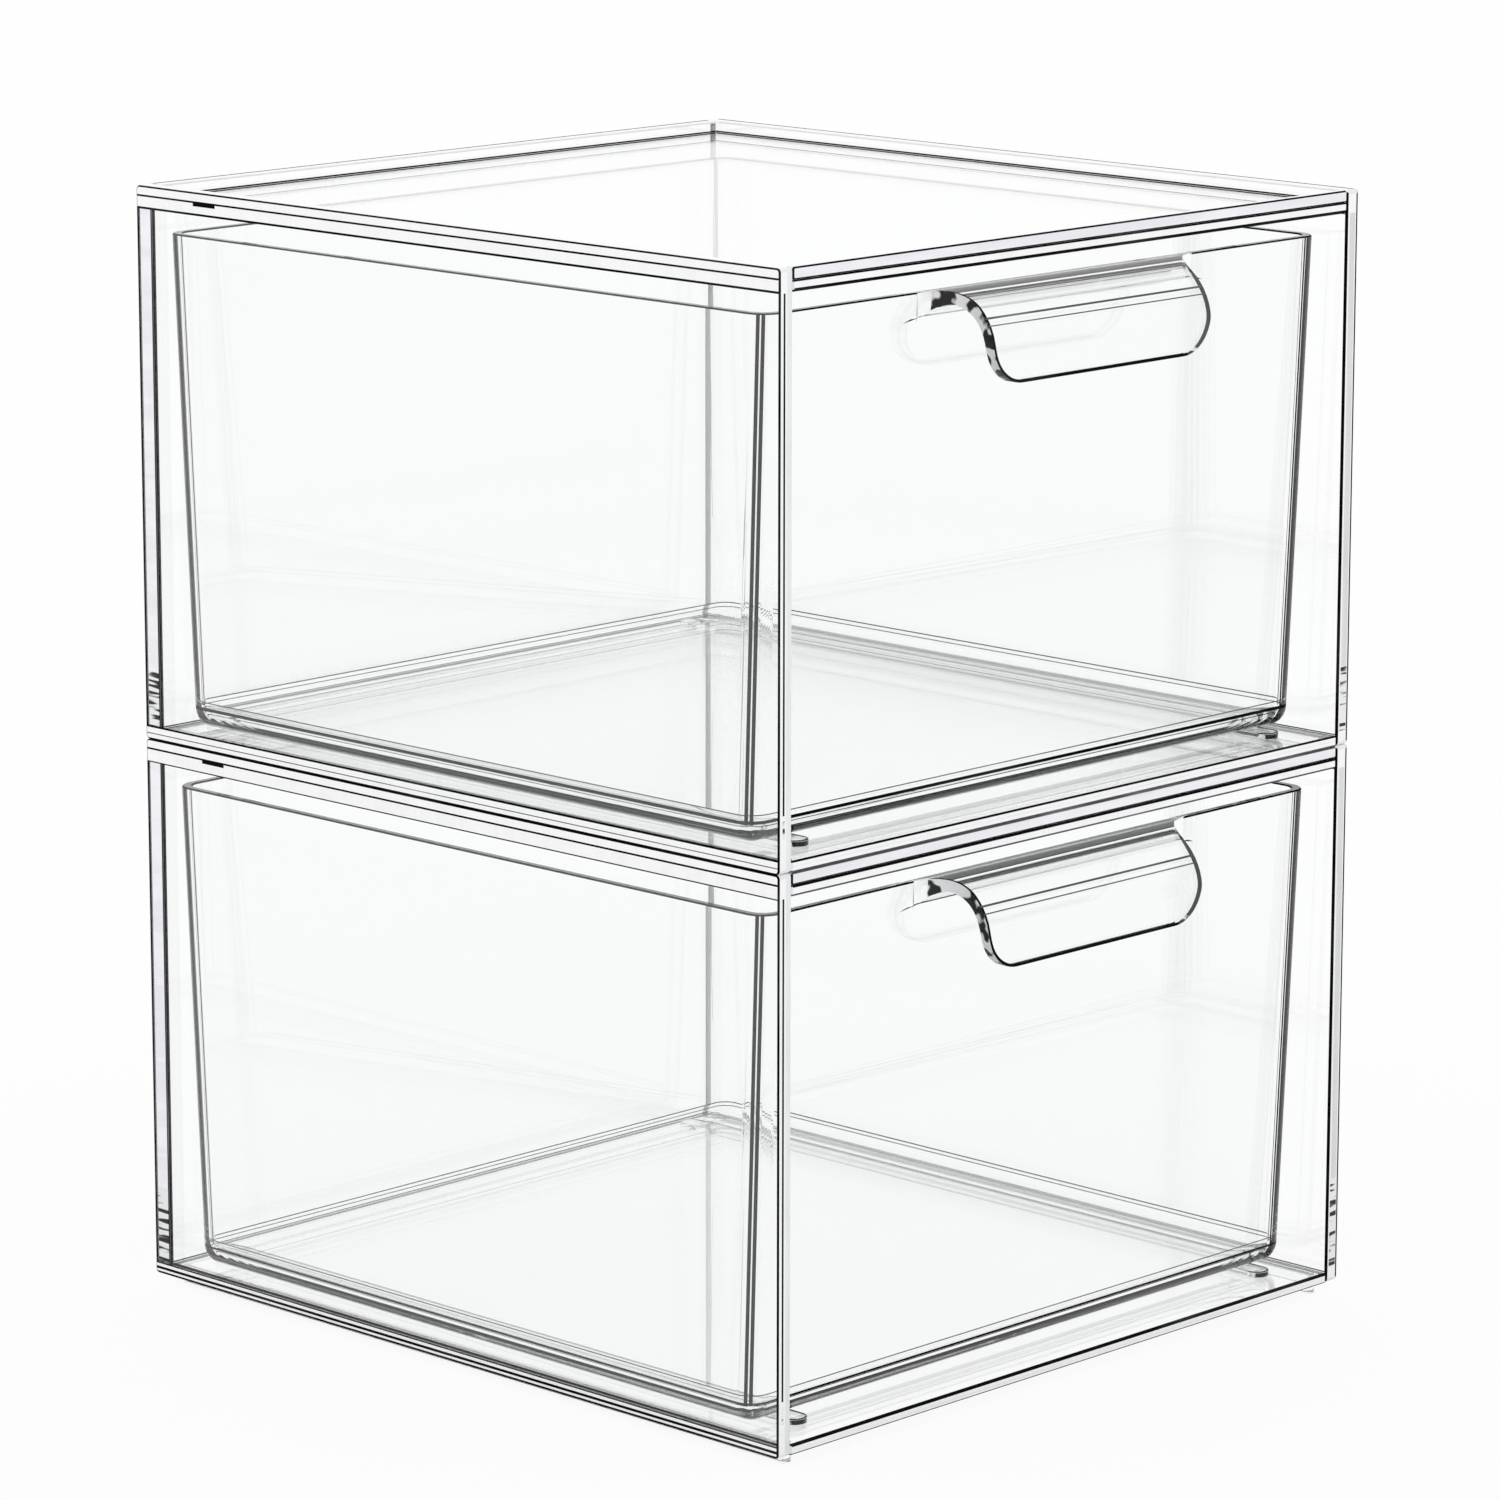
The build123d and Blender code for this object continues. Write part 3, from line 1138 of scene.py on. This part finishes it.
        for face in bm.faces:
            if on_pull(face) and face.normal.x < self.pull_left:
                face.material_index = Zone.PULL_EDGE
            elif on_pull(face) and face.normal.x > self.pull_right:
                face.material_index = Zone.FAINT
            elif on_pull(face) and face.normal.z < self.pull_down:
                if face.calc_center_median().z < high.z - self.pull_foot:
                    face.material_index = Zone.LINE
        for outside, width in ((True, self.pull_outline), (False, self.pull_inline)):
            broad = [face for face in bm.faces if on_pull(face) and abs(face.normal.x) < self.pull_broad
                     and face.material_index == Zone.FACE and is_outer(face) == outside]
            made = bmesh.ops.inset_region(bm, faces=broad, thickness=width, use_boundary=True,
                                          use_even_offset=True)
            for face in made["faces"]:
                centre = face.calc_center_median()
                if centre.y < reach - self.pull_root and centre.x < self.pull_outline_end:
                    face.material_index = Zone.LINE
        for drop, width in self.bend_lines:
            for place in (drop, drop + width):
                front = [face for face in bm.faces if on_pull(face) and face.normal.y < self.bend_front]
                cut(bm, front, Vector((0.0, 0.0, high.z - place * MM)), UP)
            for face in bm.faces:
                depth = (high.z - face.calc_center_median().z) / MM
                if on_pull(face) and face.normal.y < self.bend_front and drop < depth < drop + width:
                    face.material_index = Zone.FAINT

    def rim_line(self, bm: bmesh.types.BMesh) -> None:
        """Paints the rounded edges of the tray's rim dark: painted shade."""
        high = corners(self.node)[1]
        least, most = self.rim_tilt
        for face in bm.faces:
            if face.calc_center_median().z > high.z - self.rim and least < abs(face.normal.z) < most:
                face.material_index = Zone.LINE

    def build(self) -> None:
        """Builds the tray and marks its lines."""
        bm = self.merged()
        self.foot_lines(bm)
        for line in CORNER_LINES:
            self.corner_line(bm, line)
        self.pull_lines(bm)
        self.rim_line(bm)
        piece = finish_piece(bm, f"{self.node}_moulding", self.finishes.for_tray())
        stand_for(piece, self.node, f"{self.unit.value}_tray")


# Stage, light and camera


@dataclass
class Studio:
    """The plain white floor, the soft light and the camera."""

    eye: Vector = field(default_factory=lambda: Vector((-0.9242, -0.8940, 0.3840)))
    target: Vector = field(default_factory=lambda: Vector((0.00097, 0.00265, 0.1122)))
    roll: float = math.radians(0.051)
    lens: float = 156.8
    sensor: float = 36.0
    clip: Span = (0.05, 50.0)
    floor_size: float = 8.0
    floor_white: float = 0.92
    floor_glow: float = 0.92
    # The surround changes from white to a light grey between these heights of its sphere
    overhead_rise: Span = (0.62, 0.80)
    overhead: Colour = (0.74, 0.74, 0.76)
    bounces: int = 28
    glossy_bounces: int = 10

    def build_floor(self) -> None:
        """Builds the floor, white to the eye and with a trace of the object's shadow."""
        bm = bmesh.new()
        bmesh.ops.create_grid(bm, x_segments=1, y_segments=1, size=self.floor_size / 2)
        mesh = bpy.data.meshes.new("studio_floor")
        bm.to_mesh(mesh)
        bm.free()
        material = bpy.data.materials.new("floor_white")
        material.use_nodes = True
        tree = material.node_tree
        tree.nodes.remove(tree.nodes["Principled BSDF"])
        matte = tree.nodes.new("ShaderNodeBsdfDiffuse")
        matte.inputs["Color"].default_value = (self.floor_white, self.floor_white, self.floor_white, 1.0)
        glow = tree.nodes.new("ShaderNodeEmission")
        glow.inputs["Color"].default_value = (*PURE_WHITE, 1.0)
        share = tree.nodes.new("ShaderNodeMath")
        share.operation = "MULTIPLY"
        share.inputs[1].default_value = self.floor_glow
        path = tree.nodes.new("ShaderNodeLightPath")
        seen = self.larger(tree, path.outputs["Is Camera Ray"], self.through_plastic(tree, path))
        tree.links.new(seen, share.inputs[0])
        mix = tree.nodes.new("ShaderNodeMixShader")
        tree.links.new(share.outputs["Value"], mix.inputs["Fac"])
        tree.links.new(matte.outputs["BSDF"], mix.inputs[1])
        tree.links.new(glow.outputs["Emission"], mix.inputs[2])
        tree.links.new(mix.outputs["Shader"], tree.nodes["Material Output"].inputs["Surface"])
        mesh.materials.append(material)
        floor = bpy.data.objects.new("studio_floor", mesh)
        bpy.context.scene.collection.objects.link(floor)

    @staticmethod
    def larger(tree: bpy.types.NodeTree, first: bpy.types.NodeSocket,
               second: bpy.types.NodeSocket) -> bpy.types.NodeSocket:
        """Adds the larger of two values.

        Args:
            tree: The node tree.
            first: One value.
            second: The other.

        Returns:
            The larger value.
        """
        node = tree.nodes.new("ShaderNodeMath")
        node.operation = "MAXIMUM"
        tree.links.new(first, node.inputs[0])
        tree.links.new(second, node.inputs[1])
        return node.outputs["Value"]

    def through_plastic(self, tree: bpy.types.NodeTree, path: bpy.types.ShaderNode) -> bpy.types.NodeSocket:
        """Adds a value that is 1 for rays that a surface reflects or lets through.

        Args:
            tree: The node tree of a material or the world.
            path: Its light path node.

        Returns:
            The value.
        """
        return self.larger(tree, path.outputs["Is Glossy Ray"], path.outputs["Is Transmission Ray"])

    def build_world(self) -> None:
        """Builds the surround.

        It is white to the eye. To the plastic it is white all round, with light grey overhead.
        """
        world = bpy.data.worlds.new("soft_surround")
        bpy.context.scene.world = world
        world.use_nodes = True
        tree = world.node_tree
        background = tree.nodes["Background"]
        background.inputs["Strength"].default_value = 1.0
        place = tree.nodes.new("ShaderNodeTexCoord")
        split = tree.nodes.new("ShaderNodeSeparateXYZ")
        tree.links.new(place.outputs["Generated"], split.inputs["Vector"])
        surround = add_ramp(tree, split.outputs["Z"], self.overhead_rise, (PURE_WHITE, self.overhead))
        path = tree.nodes.new("ShaderNodeLightPath")
        mix = tree.nodes.new("ShaderNodeMix")
        mix.data_type = "RGBA"
        mix.inputs["A"].default_value = (*PURE_WHITE, 1.0)
        tree.links.new(self.through_plastic(tree, path), mix.inputs["Factor"])
        tree.links.new(surround, mix.inputs["B"])
        tree.links.new(mix.outputs["Result"], background.inputs["Color"])

    def build_camera(self) -> None:
        """Places the camera at the photograph's angle."""
        data = bpy.data.cameras.new("camera")
        data.lens = self.lens
        data.sensor_width = self.sensor
        data.clip_start, data.clip_end = self.clip
        camera = bpy.data.objects.new("camera", data)
        look = (self.target - self.eye).to_track_quat("-Z", "Y")
        turn = Quaternion((0.0, 0.0, 1.0), self.roll)
        camera.matrix_world = Matrix.Translation(self.eye) @ (look @ turn).to_matrix().to_4x4()
        bpy.context.scene.collection.objects.link(camera)
        bpy.context.scene.camera = camera

    def build(self) -> None:
        """Builds the studio."""
        self.build_floor()
        self.build_world()
        self.build_camera()
        bpy.context.scene.view_settings.view_transform = "Standard"
        cycles = bpy.context.scene.cycles
        cycles.max_bounces = self.bounces
        cycles.transmission_bounces = self.bounces
        cycles.glossy_bounces = self.glossy_bounces


def main() -> None:
    """Builds the organizer in its studio."""
    logging.basicConfig(level=logging.INFO, format="%(name)s: %(message)s")
    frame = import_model()
    finishes = Finishes()
    for unit in Unit:
        Casing(unit, finishes).build()
        Drawer(unit, finishes, frame["nodes"]).build()
    Studio().build()


if __name__ == "__main__":
    main()
